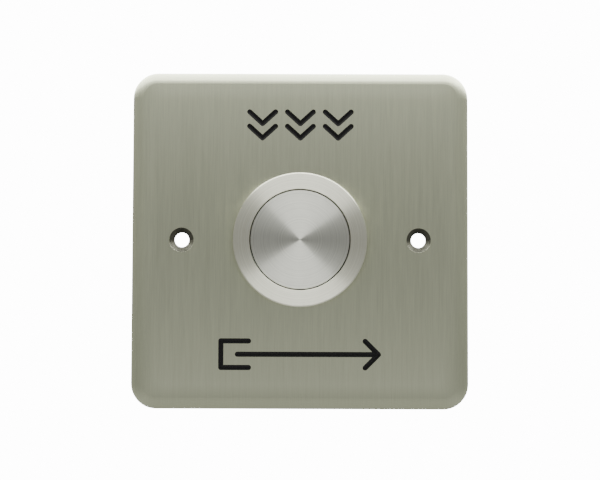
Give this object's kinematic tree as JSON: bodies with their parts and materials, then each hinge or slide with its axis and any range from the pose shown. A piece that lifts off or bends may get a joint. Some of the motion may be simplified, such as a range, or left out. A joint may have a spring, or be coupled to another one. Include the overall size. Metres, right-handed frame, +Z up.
{
  "type": "flush push button on a wall plate",
  "caption": "Flush round push button with a turned steel cap and bezel, clamped in a square brushed steel wall plate, with a changeover contact block behind.",
  "frame": {"origin": "on the button's axis, in the plane of the wall that the plate's rim rests on", "axes": "+Y goes into the wall along the button's axis, -Y faces the user, +Z is up"},
  "size_m": [0.086, 0.029, 0.086],
  "materials": {
    "brushed_plate": "vertically brushed stainless steel",
    "turned_bezel": "fine turned stainless steel",
    "turned_cap": "fine turned stainless steel",
    "black_enamel": "glossy black enamel",
    "black_rubber": "matt black rubber",
    "nut_steel": "machined stainless steel",
    "zinc_plate": "stamped, zinc plated steel",
    "spring_steel": "drawn spring steel",
    "screw_steel": "blackened steel",
    "black_moulding": "moulded, glass filled nylon",
    "natural_acetal": "moulded acetal",
    "brass_strip": "blanked brass strip",
    "nickel_plate": "nickel plated steel",
    "silver_contact": "silver alloy"
  },
  "bodies": {
    "root": {"face_plate": "brushed_plate", "press_mark_fill": "black_enamel", "exit_mark_fill": "black_enamel", "panel_gasket": "black_rubber", "bezel_bushing": "turned_bezel", "lock_washer": "zinc_plate", "panel_nut": "nut_steel", "contact_body": "black_moulding", "snap_ring": "spring_steel", "terminal_base": "black_moulding", "base_screws": "screw_steel", "terminal_nc_left": "brass_strip", "terminal_nc_right": "brass_strip", "terminal_no_left": "brass_strip", "terminal_no_right": "brass_strip", "fixed_contacts": "silver_contact", "clamp_washers": "nickel_plate", "terminal_screws": "nickel_plate", "return_spring": "spring_steel"},
    "button": {"button_cap": "turned_cap", "cap_seal": "black_rubber", "plunger": "natural_acetal", "plunger_clip": "spring_steel", "bridge_washer": "spring_steel"},
    "bridge": {"contact_bridge": "brass_strip", "bridge_contacts": "silver_contact", "contact_spring": "spring_steel"}
  },
  "joints": [
    {"name": "button_press", "type": "slide", "parent": "root", "child": "button", "axis": [0, 1, 0], "range_m": [0, 0.0025], "stiffness_N_per_m": 1200, "springref_m": -0.0017, "deforming": ["return_spring", "contact_spring"]},
    {"name": "bridge_travel", "type": "slide", "parent": "root", "child": "bridge", "axis": [0, 1, 0], "range_m": [0, 0.002]}
  ],
  "couplings": [
    {"joint": "bridge_travel", "follows": "button_press", "ratio": 0.8}
  ]
}
